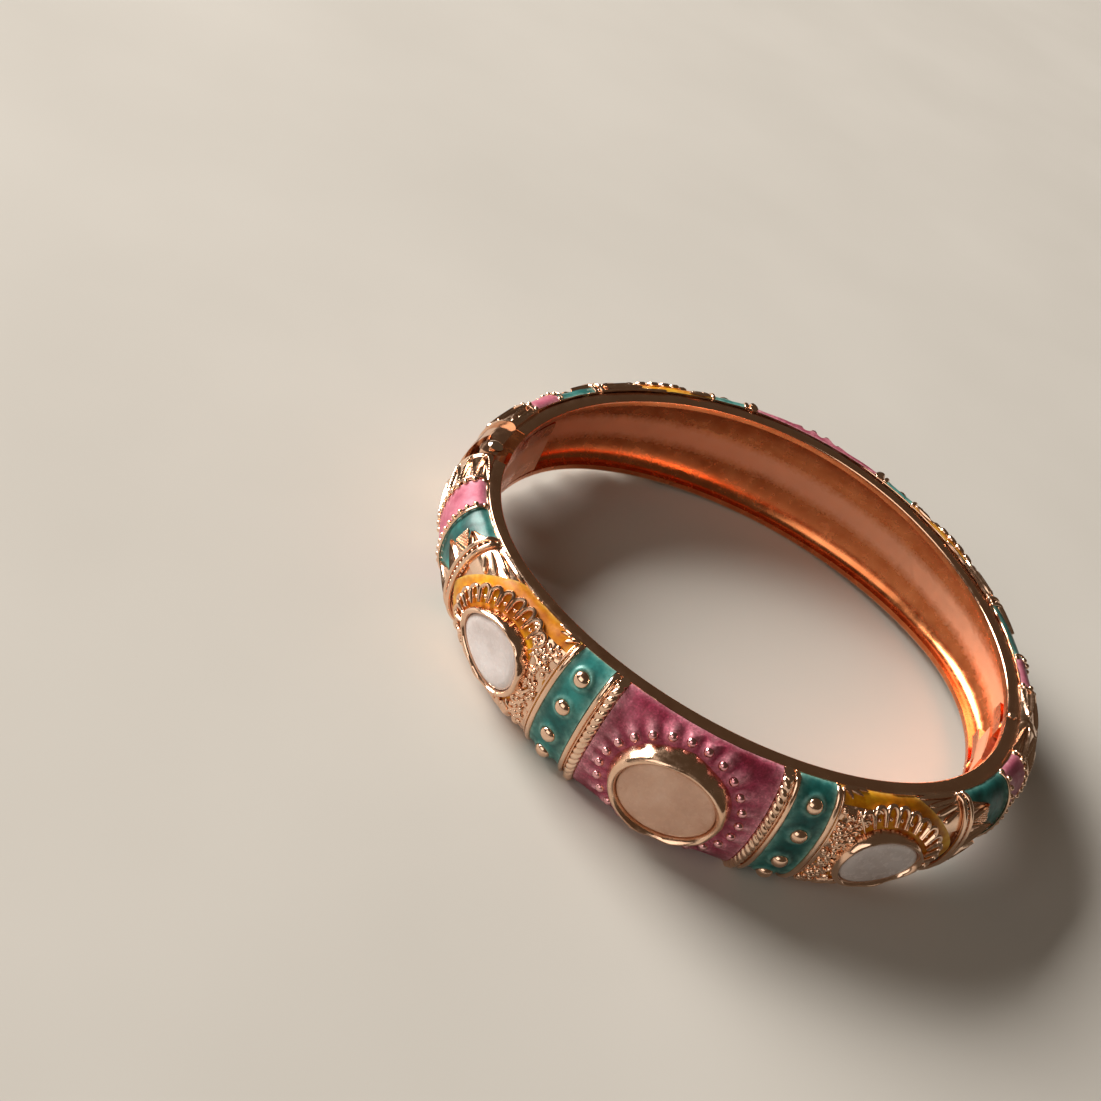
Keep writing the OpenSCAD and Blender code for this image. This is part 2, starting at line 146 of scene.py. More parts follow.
# ---------------------------------------------------------------- meshes
class Solid:
    """Points and faces of one piece of the front half in millimetres, added island by island."""

    def __init__(self):
        self.points, self.tones, self.faces, self.slots, self.count = [], [], [], [], 0

    def add(self, points, faces, slot=0, tone=0.0):
        """Adds an island; tone is how far each point's enamel is drawn thin over the metal."""
        points = np.asarray(points, float).reshape(-1, 3)
        self.points.append(points)
        self.tones.append(np.broadcast_to(np.asarray(tone, float).ravel(), len(points)))
        self.faces += [tuple(int(i) + self.count for i in f) for f in faces]
        self.slots += [slot] * len(faces)
        self.count += len(points)

    def skin(self, rings, looped=False):
        """Quads over a stack of closed rings of points; a stack that isn't looped ends in flat caps."""
        rows, cols = rings.shape[:2]
        i, j = np.meshgrid(np.arange(rows if looped else rows - 1), np.arange(cols), indexing="ij")
        i2, j2 = (i + 1) % rows, (j + 1) % cols
        faces = np.stack([i * cols + j, i * cols + j2, i2 * cols + j2, i2 * cols + j], -1).reshape(-1, 4)
        faces = faces.tolist()
        if not looped:
            faces += [list(range(cols))[::-1], [(rows - 1) * cols + k for k in range(cols)]]
        self.add(rings, faces)


def make(name, solid, side, materials, sharp=40.0):
    """Mesh object from a solid; the back half is the mirror image across the opening's long axis."""
    points = np.concatenate(solid.points) * MM
    points[:, 2] = np.clip(points[:, 2], REST_GAP * MM, (2 * Z_MID - REST_GAP) * MM)
    if side == "back":
        points[:, 1] *= -1
    mesh = bpy.data.meshes.new(name)
    mesh.from_pydata(points.tolist(), [], solid.faces)
    mesh.polygons.foreach_set("material_index", solid.slots)
    mesh.attributes.new("tone", "FLOAT", "POINT").data.foreach_set("value", np.concatenate(solid.tones))
    work = bmesh.new()
    work.from_mesh(mesh)
    bmesh.ops.recalc_face_normals(work, faces=work.faces)
    work.to_mesh(mesh)
    work.free()
    for material in materials:
        mesh.materials.append(material)
    mesh.shade_smooth()
    mesh.set_sharp_from_angle(angle=math.radians(sharp))
    piece = bpy.data.objects.new(name, mesh)
    bpy.context.scene.collection.objects.link(piece)
    return piece


def unit(v):
    return v / np.maximum(np.linalg.norm(v, axis=-1, keepdims=True), 1e-9)


def tube(solid, path, normals, wide, tall=None, sides=12, shape=None):
    """Sweep a round section along path; shape(angles, rows) scales it, for ropes."""
    tall = wide if tall is None else tall
    path, normals = np.asarray(path, float), np.asarray(normals, float)
    tangent = unit(np.gradient(path, axis=0))
    side_way = unit(np.cross(tangent, normals))
    up = np.cross(side_way, tangent)
    angles = np.linspace(0, 2 * math.pi, sides, endpoint=False)
    rows = np.arange(len(path))
    scale = np.ones((len(path), sides)) if shape is None else shape(angles[None, :], rows[:, None])
    wide = np.broadcast_to(wide, len(path))[:, None] * scale
    tall = np.broadcast_to(tall, len(path))[:, None] * scale
    ring = path[:, None] + (wide * np.cos(angles))[..., None] * side_way[:, None]
    ring = ring + (tall * np.sin(angles))[..., None] * up[:, None]
    solid.skin(ring)


def rounded(count, radius, share):
    """Radii of an open tube that close to a point at both ends."""
    t = np.linspace(0, 1, count)
    ends = np.minimum(t, 1 - t) / share
    return radius * np.sqrt(np.clip(1 - (1 - np.clip(ends, 0, 1)) ** 2, 0.02, 1))


def bead(solid, point, normal, radius, height=None, rings=6, sides=12, slot=0):
    """A grain: a ball squashed along the normal."""
    height = radius if height is None else height
    normal = unit(np.asarray(normal, float))
    helper = np.array([0.0, 0.0, 1.0]) if abs(normal[2]) < 0.9 else np.array([1.0, 0.0, 0.0])
    a = unit(np.cross(helper, normal))
    b = np.cross(normal, a)
    lat = np.linspace(-math.pi / 2, math.pi / 2, rings + 1)[1:-1]
    lon = np.linspace(0, 2 * math.pi, sides, endpoint=False)
    lat, lon = np.meshgrid(lat, lon, indexing="ij")
    ball = (np.cos(lat) * np.cos(lon) * radius)[..., None] * a
    ball = ball + (np.cos(lat) * np.sin(lon) * radius)[..., None] * b
    ball = ball + (np.sin(lat) * height)[..., None] * normal
    rows, cols = ball.shape[:2]
    points = np.concatenate([ball.reshape(-1, 3), [-height * normal, height * normal]]) + point
    faces = []
    for i in range(rows - 1):
        for j in range(cols):
            k = (j + 1) % cols
            faces.append((i * cols + j, i * cols + k, (i + 1) * cols + k, (i + 1) * cols + j))
    low, high = rows * cols, rows * cols + 1
    for j in range(cols):
        k = (j + 1) % cols
        faces.append((low, k, j))
        faces.append((high, (rows - 1) * cols + j, (rows - 1) * cols + k))
    solid.add(points, faces, slot)


def beads_on(solid, s, turn, radius, lift):
    """Round grains on the dome at each s and turn."""
    s, turn, radius = np.broadcast_arrays(np.asarray(s, float), turn, radius)
    points, normals = on_dome(s, turn, lift)
    for p, n, r in zip(points.reshape(-1, 3), normals.reshape(-1, 3), radius.ravel()):
        bead(solid, p, n, r)


def slab(solid, edge_a, edge_b, top, rows, cols, reach=0.94, tone=None):
    """Layer on the dome between two edges, each a function of turn, with top(s, turn, t) above it."""
    turn = np.linspace(-reach, reach, cols)[None, :]
    t = np.linspace(0, 1, rows)[:, None]
    s = edge_a(turn) * (1 - t) + edge_b(turn) * t
    turn = np.broadcast_to(turn, s.shape)
    t = np.broadcast_to(t, s.shape)
    upper, _ = on_dome(s, turn, top(s, turn, t))
    tones = np.zeros(s.shape) if tone is None else tone(s, turn, t)
    lower, _ = on_dome(s, turn, -SUNK)
    n = rows * cols
    index = np.arange(n).reshape(rows, cols)
    faces = []
    for block, shift in ((index, 0), (index, n)):
        a, b, c, d = block[:-1, :-1], block[1:, :-1], block[1:, 1:], block[:-1, 1:]
        faces += (np.stack([a, b, c, d], -1).reshape(-1, 4) + shift).tolist()
    rim = np.concatenate([index[0, :], index[1:, -1], index[-1, -2::-1], index[-2:0:-1, 0]])
    nxt = np.roll(rim, -1)
    faces += np.stack([rim, nxt, nxt + n, rim + n], -1).tolist()
    points = np.concatenate([upper.reshape(-1, 3), lower.reshape(-1, 3)])
    solid.add(points, faces, tone=np.concatenate([tones.ravel(), tones.ravel()]))


def ledge(solid, s, turns, height):
    """Raised ground on the dome over rows of s and turn, its foot sunk into the band."""
    foot = -0.2
    top, _ = on_dome(s, turns, height)
    low, _ = on_dome(s[:, ::-1], turns[:, ::-1], foot)
    solid.skin(np.concatenate([top, low], 1))


def waves(x, y, seed, size):
    """Smooth repeatable unevenness between about -1 and 1, in lengths of size."""
    draw = np.random.default_rng(seed)
    total = np.zeros(np.broadcast(x, y).shape)
    for _ in range(6):
        angle, phase = draw.uniform(0, 2 * math.pi, 2)
        pitch = size * draw.uniform(0.7, 1.6)
        total = total + np.sin((x * math.cos(angle) + y * math.sin(angle)) * 2 * math.pi / pitch + phase)
    return total / 3


# ---------------------------------------------------------------- materials
class Nodes:
    """Short hand for building one material's node tree."""

    def __init__(self, name):
        self.material = bpy.data.materials.new(name)
        self.material.use_nodes = True
        self.tree = self.material.node_tree
        self.shader = self.tree.nodes["Principled BSDF"]
        self.position = self.add("ShaderNodeNewGeometry").outputs["Position"]

    def add(self, kind, **inputs):
        node = self.tree.nodes.new(kind)
        for key, value in inputs.items():
            self.put(node.inputs[key.replace("_", " ")], value)
        return node

    def put(self, socket, value):
        if isinstance(value, bpy.types.NodeSocket):
            self.tree.links.new(value, socket)
        else:
            socket.default_value = value

    def noise(self, per_mm, detail, roughness=0.5, stretch=None):
        vector = self.position
        if stretch is not None:
            scaler = self.add("ShaderNodeVectorMath")
            scaler.operation = "MULTIPLY"
            self.put(scaler.inputs[0], vector)
            scaler.inputs[1].default_value = stretch
            vector = scaler.outputs[0]
        node = self.add("ShaderNodeTexNoise", Scale=per_mm / MM, Detail=detail, Roughness=roughness)
        self.put(node.inputs["Vector"], vector)
        return node.outputs["Fac"]

    def cells(self, per_mm):
        """A random colour for each small cell."""
        node = self.add("ShaderNodeTexVoronoi", Scale=per_mm / MM)
        self.put(node.inputs["Vector"], self.position)
        return node.outputs["Color"]

    def ramp(self, value, stops):
        node = self.add("ShaderNodeValToRGB")
        self.put(node.inputs["Fac"], value)
        elements = node.color_ramp.elements
        while len(elements) < len(stops):
            elements.new(0.5)
        for element, (at, colour) in zip(elements, stops):
            element.position = at
            element.color = (*colour, 1)
        return node.outputs["Color"]

    def span(self, value, low, high, from_low, from_high):
        """value from from_low to from_high, spread over low to high."""
        node = self.add("ShaderNodeMapRange")
        self.put(node.inputs["Value"], value)
        node.inputs["From Min"].default_value = from_low
        node.inputs["From Max"].default_value = from_high
        node.inputs["To Min"].default_value = low
        node.inputs["To Max"].default_value = high
        return node.outputs["Result"]

    def mix(self, share, first, second, blend="MIX"):
        node = self.tree.nodes.new("ShaderNodeMix")
        node.data_type = "RGBA"
        node.blend_type = blend
        self.put(node.inputs[0], share)
        for socket, value in ((node.inputs[6], first), (node.inputs[7], second)):
            self.put(socket, (*value, 1) if isinstance(value, tuple) and len(value) == 3 else value)
        return node.outputs[2]

    def maths(self, operation, first, second=0.5):
        node = self.tree.nodes.new("ShaderNodeMath")
        node.operation = operation
        self.put(node.inputs[0], first)
        self.put(node.inputs[1], second)
        return node.outputs[0]

    def bump(self, height, distance_mm, strength, normal=None):
        node = self.add("ShaderNodeBump", Strength=strength, Distance=distance_mm * MM)
        self.put(node.inputs["Height"], height)
        if normal is not None:
            self.put(node.inputs["Normal"], normal)
        return node.outputs["Normal"]

    def pointiness(self):
        node = self.add("ShaderNodeNewGeometry")
        return node.outputs["Pointiness"]

    def set(self, **values):
        for key, value in values.items():
            self.put(self.shader.inputs[key.replace("_", " ")], value)
        return self.material


def rose_metal(name, light, dark, rough, dents, painted_hollow_shade=True):
    n = Nodes(name)
    tint = n.ramp(n.noise(0.35, 4.0), [(0.3, dark), (0.7, light)])
    if painted_hollow_shade:
        # Painted shade: the colour is darkened towards brown where pointiness is low, in hollows and creases.
        edge = n.ramp(n.pointiness(), [(0.42, (0.42, 0.30, 0.26)), (0.5, (1, 1, 1)), (0.6, (1, 1, 1))])
        tint = n.mix(1.0, tint, edge, "MULTIPLY")
    roughness = n.span(n.noise(1.3, 4.0, 0.6), *rough, 0.3, 0.7)
    soft = n.bump(n.noise(0.9, 2.0), dents, 0.8)
    fine = n.bump(n.noise(9.0, 2.0), 0.002, 0.6, soft)
    return n.set(Base_Color=tint, Metallic=1.0, Roughness=roughness, Normal=fine)


def channel_metal(name):
    """Inside of the band: copper painted dark red on the walls as shade and reflection, and painted pale
    along the middle of the channel as a mottled highlight, where it is also rougher and pitted.
    """
    n = Nodes(name)
    split = n.add("ShaderNodeSeparateXYZ")
    n.put(split.inputs[0], n.position)
    height = n.maths("ABSOLUTE", n.maths("SUBTRACT", split.outputs["Z"], Z_MID * MM))
    middle = n.span(height, 1.0, 0.0, 0.6 * MM, 2.8 * MM)
    # Painted shade and reflection: the walls are a dark, deep red copper, darker and redder than the band
    # outside.
    painted_shade_walls = n.ramp(n.noise(0.5, 4.0), [(0.3, (0.66, 0.19, 0.065)), (0.7, (0.84, 0.30, 0.12))])
    grains = n.noise(2.6, 5.0, 0.65)
    mottle = n.maths("MULTIPLY", grains, middle)
    matt_and_painted_streak = n.span(n.maths("ADD", middle, n.maths("MULTIPLY", grains, 0.8)), 0.0, 0.7, 0.75, 1.3)
    # Painted highlight: the middle of the channel is painted pale copper for the bright reflection streak
    # along it.
    tint = n.mix(matt_and_painted_streak, painted_shade_walls, (0.95, 0.56, 0.38))
    rough = n.maths("ADD", n.span(n.noise(1.0, 3.0), 0.20, 0.30, 0.3, 0.7), n.maths("MULTIPLY", matt_and_painted_streak, 0.45))
    pits = n.bump(mottle, 0.05, 0.5)
    fine = n.bump(n.noise(7.0, 2.0), 0.002, 0.5, pits)
    return n.set(Base_Color=tint, Metallic=1.0, Roughness=rough, Normal=fine)


def enamel(name, deep, body, light, thin, sparkle, rough, metallic, coat, gloss):
    """Glossy enamel, paler where the attribute tone says that it is thin over the metal; on the rays around
    the centre stone's grains this paler colour is partly a painted highlight.
    """
    n = Nodes(name)
    cloud = n.maths("ADD", n.noise(0.30, 3.0), n.maths("MULTIPLY", n.noise(1.4, 3.0), 0.35))
    tint = n.ramp(cloud, [(0.46, deep), (0.68, body), (0.92, light)])
    tone = n.tree.nodes.new("ShaderNodeAttribute")
    tone.attribute_name = "tone"
    patchy = n.maths("MULTIPLY", tone.outputs["Fac"], n.span(n.noise(1.6, 4.0), 0.35, 1.1, 0.35, 0.65))
    tint = n.mix(patchy, tint, thin)
    glint = n.ramp(n.cells(6.0), [(0.35, (0.75, 0.75, 0.75)), (0.9, (1.35, 1.3, 1.35))])
    tint = n.mix(sparkle, tint, n.mix(1.0, tint, glint, "MULTIPLY"))
    roughness = n.span(n.noise(1.1, 3.0), *rough, 0.3, 0.7)
    flow = n.bump(n.noise(0.55, 2.0), 0.06, 0.6)
    grain = n.bump(n.noise(6.0, 2.0), 0.004 + 0.012 * sparkle, 0.7, flow)
    return n.set(Base_Color=tint, Roughness=roughness, Normal=grain, Metallic=metallic, Coat_Weight=coat,
                 Coat_Roughness=0.12, Specular_IOR_Level=gloss)


def stone(name, deep, body, light, milk=0.35):
    n = Nodes(name)
    cloud = n.noise(0.22, 5.0, 0.55)
    tint = n.ramp(cloud, [(0.3, deep), (0.55, body), (0.8, light)])
    scratches = n.bump(n.noise(2.2, 4.0, 0.6, (1, 1, 3)), 0.006, 0.6)
    roughness = n.span(n.noise(1.6, 4.0), 0.16, 0.34, 0.3, 0.7)
    return n.set(Base_Color=tint, Roughness=roughness, Normal=scratches, Subsurface_Weight=milk,
                 Subsurface_Radius=(1.2 * MM, 0.9 * MM, 0.8 * MM), Subsurface_Scale=1.0, Coat_Weight=0.4,
                 Coat_Roughness=0.1)


BAND = rose_metal("band_rose_gold", (0.86, 0.55, 0.38), (0.76, 0.45, 0.30), (0.10, 0.22), 0.006, painted_hollow_shade=False)
INNER = channel_metal("channel_copper_painted_shade")
TRIM = rose_metal("trim_rose_gold", (0.93, 0.66, 0.49), (0.82, 0.52, 0.36), (0.09, 0.22), 0.012)
BEZEL = rose_metal("bezel_rose_gold", (0.92, 0.64, 0.47), (0.74, 0.44, 0.28), (0.10, 0.30), 0.05)
PIN = rose_metal("pin_rose_gold", (0.95, 0.74, 0.58), (0.88, 0.64, 0.48), (0.08, 0.16), 0.004, painted_hollow_shade=False)
COATED = rose_metal("bead_pink_gold", (0.90, 0.52, 0.52), (0.74, 0.32, 0.36), (0.16, 0.28), 0.012)
MAGENTA = enamel("enamel_magenta", (0.20, 0.016, 0.036), (0.34, 0.042, 0.088), (0.57, 0.15, 0.22),
                 (0.78, 0.36, 0.42), sparkle=0.8, rough=(0.30, 0.42), metallic=0.2, coat=0.05, gloss=0.35)
PINK = enamel("enamel_pink", (0.27, 0.044, 0.080), (0.36, 0.077, 0.128), (0.47, 0.15, 0.21),
              (0.64, 0.31, 0.35), sparkle=0.25, rough=(0.38, 0.52), metallic=0.1, coat=0.0, gloss=0.2)
TEAL = enamel("enamel_teal", (0.002, 0.042, 0.039), (0.005, 0.105, 0.097), (0.028, 0.23, 0.21),
              (0.26, 0.52, 0.45), sparkle=0.2, rough=(0.30, 0.46), metallic=0.05, coat=0.05, gloss=0.3)
YELLOW = enamel("enamel_yellow", (0.36, 0.085, 0.001), (0.59, 0.210, 0.002), (0.76, 0.40, 0.008),
                (0.80, 0.55, 0.13), sparkle=0.15, rough=(0.30, 0.46), metallic=0.05, coat=0.05, gloss=0.3)
WHITE_STONE = stone("stone_white", (0.50, 0.43, 0.41), (0.66, 0.60, 0.59), (0.76, 0.72, 0.72))
PEACH_STONE = stone("stone_peach", (0.58, 0.32, 0.21), (0.70, 0.43, 0.30), (0.78, 0.53, 0.41), milk=0.3)


# ---------------------------------------------------------------- cast band
def band(side):
    """Crowned dome outside, flat rims with rounded edges, hollow channel inside."""
    s = np.linspace(-HINGE_END[side], CLOSURE_END, 220)
    h = half_height(s)[:, None]
    turns = np.linspace(-1, 1, 44)
    dome_u, dome_z = section(s[:, None], turns[None, :])
    dome_z = dome_z * (1 - 0.06 / h)
    dome_u = dome_u + 0.02 + 0 * h
    # Rim face from the dome to the land, as (u, depth below the rim's plane), rounded on the wrist side
    edge = np.array([[RIM - 0.02, 0.03], [RIM - 0.06, 0.0], [0.40, 0.0], [0.24, 0.03], [0.12, 0.09],
                     [0.04, 0.18], [0.0, 0.32], [0.0, LAND]])
    high_u, high_z = edge[:, 0][None, :] + 0 * h, h - edge[:, 1][None, :]
    channel_across, channel_out = superellipse(np.linspace(1, -1, 30)[1:-1], CHANNEL_POWER)
    in_u, in_z = CHANNEL * channel_out[None, :] + 0 * h, channel_across[None, :] * (h - LAND)
    low_u, low_z = high_u[:, ::-1], -high_z[:, ::-1]
    u = np.concatenate([dome_u, high_u, in_u, low_u], 1)
    z = np.concatenate([dome_z, high_z, in_z, low_z], 1)
    solid = Solid()
    rows, cols = u.shape
    solid.skin(place(np.broadcast_to(s[:, None], u.shape), u, z))
    # Columns of faces on the wrist side: both lands and the channel between them
    first_inner = len(turns) + len(edge) - 2
    last_inner = first_inner + 2 + in_u.shape[1]
    column = np.tile(np.arange(cols), rows - 1)
    inner = (column >= first_inner) & (column <= last_inner)
    solid.slots[: len(inner)] = inner.astype(int).tolist()
    along = np.linspace(PINK_SHIFT - PINK_END, PINK_END, 700)
    # A fine uneven line of metal along each rim
    for rim in (-1, 1):
        turn = rim * (0.957 + 0.007 * waves(along, 0, 41 + rim, 2.5))
        points, normals = on_dome(along, turn, 0.05)
        tube(solid, points, normals, 0.09 + 0.025 * waves(along, 0, 51 + rim, 1.7), sides=8)
    piece = make(side + "_band", solid, side, [BAND, INNER])
    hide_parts(side + "_shell")
    return piece


# ---------------------------------------------------------------- enamel
def meniscus(t, width):
    """Enamel drawn up at its edges, for t from 0 to 1 across a field."""
    return np.exp(-t / width) + np.exp(-(1 - t) / width)


def plain_edge(at):
    return lambda turn: at + 0 * turn


def pink_edge(sign, at):
    """Edge beside a pink band; the band on the hinge side lies nearer to the half's middle."""
    return plain_edge(at - PINK_SHIFT if sign < 0 else at)


def arch_edge(extra):
    """The beaded divider, bulging a little towards the ends of the half at the crest."""
    return lambda turn: ARCH_CREST + extra + (ARCH_RIM - ARCH_CREST) * np.abs(turn) ** 2


def leaf_edge():
    """The rounded end of the leaf panel."""
    return lambda turn: LEAF_CREST + (LEAF_RIM - LEAF_CREST) * np.abs(turn) ** 1.3


def on_side(sign, edge):
    """The edge on the closure side of the half's middle, or mirrored to the hinge side for sign -1."""
    return lambda turn: sign * edge(turn)


def fade(turn, start=0.80, end=0.97):
    """1 on the dome, falling to 0 at the rims."""
    return 1 - np.clip((np.abs(turn) - start) / (end - start), 0, 1) ** 2


def field(solid, sign, edge_a, edge_b, level, seed, rows, cols, extra=None, spread=0.08):
    """One enamel field: level with soft waves, drawn up and thin at the metal."""
    if sign < 0:
        edge_a, edge_b = on_side(-1, edge_b), on_side(-1, edge_a)

    def top(s, turn, t):
        lift = level + 0.05 * waves(s, turn * 6, seed, 4.0) + 0.06 * meniscus(t, spread)
        if extra is not None:
            lift = lift + extra(s, turn)
        return lift * fade(turn)

    def tone(s, turn, t):
        edges = 0.8 * meniscus(t, spread) + 0.8 * np.exp((np.abs(turn) - 0.94) / 0.04)
        if extra is not None:
            # Enamel on grains and studs is drawn thin and paler; on the rays around the centre stone's grains
            # this is partly a painted highlight.
            edges = edges + 2.4 * extra(s, turn)
        return np.clip(edges, 0, 1)

    slab(solid, edge_a, edge_b, top, rows=rows, cols=cols, tone=tone)


STUD_TURNS = (-0.56, -0.2, 0.14, 0.52)
STUD_AT = (STUD_START + STUD_END) / 2
STUD_RADIUS, STUD_HEIGHT = 0.84, 0.66
# Ring of grains around the centre stone: their number, the ring's half axes and its first angle
BEADS = 24
BEAD_RING = (7.0, 6.2)
BEAD_PHASE = 0.1


def ridge_around(away, radius, width):
    return np.exp(-(((away - radius) / width) ** 2))


def near_studs(s, turn):
    """Enamel standing up in a ring around each stud."""
    points, _ = on_dome(s, turn)
    total = 0
    for at in STUD_TURNS:
        centre, _ = on_dome(np.sign(s) * STUD_AT, at)
        away = np.linalg.norm(points - centre, axis=-1)
        total = total + 0.20 * ridge_around(away, 0.95, 0.24)
    return total


def near_beads(s, turn):
    """Enamel running up each grain around the centre stone and outwards from it; the paler tone this gives
    the rays is thin enamel and partly a painted highlight.
    """
    x = s * (SIDE_RADIUS + BASE) / SIDE_RADIUS / BEAD_RING[0]
    y = np.interp(turn, TURNS, across_lengths(0.0)) / BEAD_RING[1]
    ray = 0.5 + 0.5 * np.cos(BEADS * (np.arctan2(y, x) - BEAD_PHASE))
    out = (np.hypot(x, y) - 1) * np.mean(BEAD_RING) - 0.2
    length = np.where(out > 0, 1.05, 0.7)
    return 0.40 * ray * np.exp(-((out / length) ** 2))


def enamels(side):
    """All enamel fields of a half, each running a little way under the metal beside it."""
    under = 0.1
    level, low_level = 0.26, 0.12
    centre, studs, leaves, points, pinks = Solid(), Solid(), Solid(), Solid(), Solid()
    field(centre, 1, plain_edge(-CENTRE_EDGE), plain_edge(CENTRE_EDGE), level, seed=3,
          rows=170, cols=190, extra=near_beads, spread=0.03)
    for sign in (-1, 1):
        field(studs, sign, plain_edge(STUD_START - under), plain_edge(STUD_END + under), level,
              seed=11 + sign, rows=48, cols=200, extra=near_studs, spread=0.10)
        field(leaves, sign, plain_edge(LEAF_START - under), leaf_edge(), level,
              seed=17 + sign, rows=60, cols=120, spread=0.03)
        field(points, sign, arch_edge(ARCH_WIDTH - under), pink_edge(sign, PINK_START - 0.4), low_level,
              seed=23 + sign, rows=40, cols=120, spread=0.05)
        field(pinks, sign, pink_edge(sign, PINK_START - under), pink_edge(sign, PINK_END + under), level,
              seed=31 + sign, rows=24, cols=90)
    pieces = []
    for label, solid, material, node in (
        ("magenta_enamel", centre, MAGENTA, "centre_enamel"),
        ("stud_panel_enamel", studs, TEAL, "stud_enamel"),
        ("leaf_panel_enamel", leaves, YELLOW, "leaf_enamel"),
        ("point_panel_enamel", points, TEAL, "point_enamel"),
        ("pink_band_enamel", pinks, PINK, "pink_enamel"),
    ):
        piece = make(f"{side}_{label}", solid, side, [material], 60)
        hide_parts(f"{side}_{node}")
        pieces.append(piece)
    return pieces


# ---------------------------------------------------------------- wires, ropes and beaded rows
def settle(turn, lift, radius, start=0.72, end=0.97):
    """Height of a wire's centre: lift on the dome, sinking into the band at the rims."""
    height = fade(turn, start, end)
    return lift * height - 0.9 * radius * (1 - height)


def cross_wire(solid, edge, radius, lift, reach=0.93):
    """Wire across the band along an edge."""
    count = 70
    turn = np.linspace(-reach, reach, count)
    points, normals = on_dome(edge(turn), turn, settle(turn, lift, radius))
    tube(solid, points, normals, rounded(count, radius, 0.04))


def lengths(points):
    """Length along a line of points up to each point."""
    return np.concatenate([[0], np.cumsum(np.linalg.norm(np.diff(points, axis=0), axis=1))])


def beaded_row(solid, edge, radius, pitch, lift):
    """Row of grains across the band along an edge."""
    turn = np.linspace(-0.90, 0.90, 200)
    points, _ = on_dome(edge(turn), turn, 0)
    arc = lengths(points)
    count = max(2, round(arc[-1] / pitch))
    at = np.interp(np.linspace(0, arc[-1], count), arc, turn)
    beads_on(solid, edge(at), at, radius, settle(at, lift, radius))


def rope(solid, edge, radius, pitch, lift):
    """Two strands twisted together, across the band along an edge."""
    count = 320
    turn = np.linspace(-0.93, 0.93, count)
    points, normals = on_dome(edge(turn), turn, settle(turn, lift, radius))
    arc = lengths(points)

    def strands(angles, rows):
        return 0.80 + 0.30 * np.abs(np.cos(angles - arc[rows] * math.pi / pitch)) ** 0.8

    tube(solid, points, normals, rounded(count, radius, 0.02), sides=28, shape=strands)


def rope_borders(side):
    """Rope, fine wire and smooth ridge between the centre panel and each stud panel."""
    solid = Solid()
    for sign in (-1, 1):
        rope(solid, on_side(sign, plain_edge(CENTRE_EDGE + 0.50)), radius=0.50, pitch=0.82 * sign, lift=0.32)
        cross_wire(solid, on_side(sign, plain_edge(CENTRE_EDGE + 1.08)), radius=0.12, lift=0.20)
        cross_wire(solid, on_side(sign, plain_edge(STUD_START - 0.42)), radius=0.30, lift=0.36)
    piece = make(side + "_twisted_borders", solid, side, [TRIM])
    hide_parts(side + "_rope_borders")
    return piece


def dividers(side):
    """Ridge beside each stud panel, beaded divider with a fan at each rim, beaded rows beside the pink."""
    solid = Solid()
    for sign in (-1, 1):
        cross_wire(solid, on_side(sign, plain_edge(STUD_END + 0.3)), radius=0.30, lift=0.34)
        cross_wire(solid, on_side(sign, plain_edge(LEAF_START + 0.05)), radius=0.13, lift=0.34)
        cross_wire(solid, on_side(sign, arch_edge(0.14)), radius=0.25, lift=0.44, reach=0.96)
        cross_wire(solid, on_side(sign, arch_edge(ARCH_WIDTH - 0.14)), radius=0.25, lift=0.44, reach=0.96)
        beaded_row(solid, on_side(sign, arch_edge(ARCH_WIDTH / 2)), radius=0.19, pitch=0.60, lift=0.34)
        for rim in (-1, 1):
            fan(solid, sign, rim)
        cross_wire(solid, on_side(sign, pink_edge(sign, PINK_START - 0.62)), radius=0.14, lift=0.40)
        for at in (PINK_START - 0.18, PINK_END + 0.18):
            beaded_row(solid, on_side(sign, pink_edge(sign, at)), radius=0.33, pitch=0.80, lift=0.36)
        cross_wire(solid, on_side(sign, pink_edge(sign, PINK_END + 0.58)), radius=0.18, lift=0.42)
    piece = make(side + "_ridges_and_beading", solid, side, [TRIM])
    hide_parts(side + "_dividers")
    return piece


def curve(solid, sign, points, radius, lift, count=16, share=0.2):
    """Wire on the dome through three (s, turn) points."""
    t = np.linspace(0, 1, count)[:, None]
    a, b, c = (np.array(p, float) for p in points)
    path = (1 - t) ** 2 * a + 2 * t * (1 - t) * (2 * b - (a + c) / 2) + t**2 * c
    s, turn = path[:, 0], path[:, 1]
    places, normals = on_dome(sign * s, turn, settle(turn, lift, radius, 0.85, 1.1))
    tube(solid, places, normals, rounded(count, radius, share), sides=8)


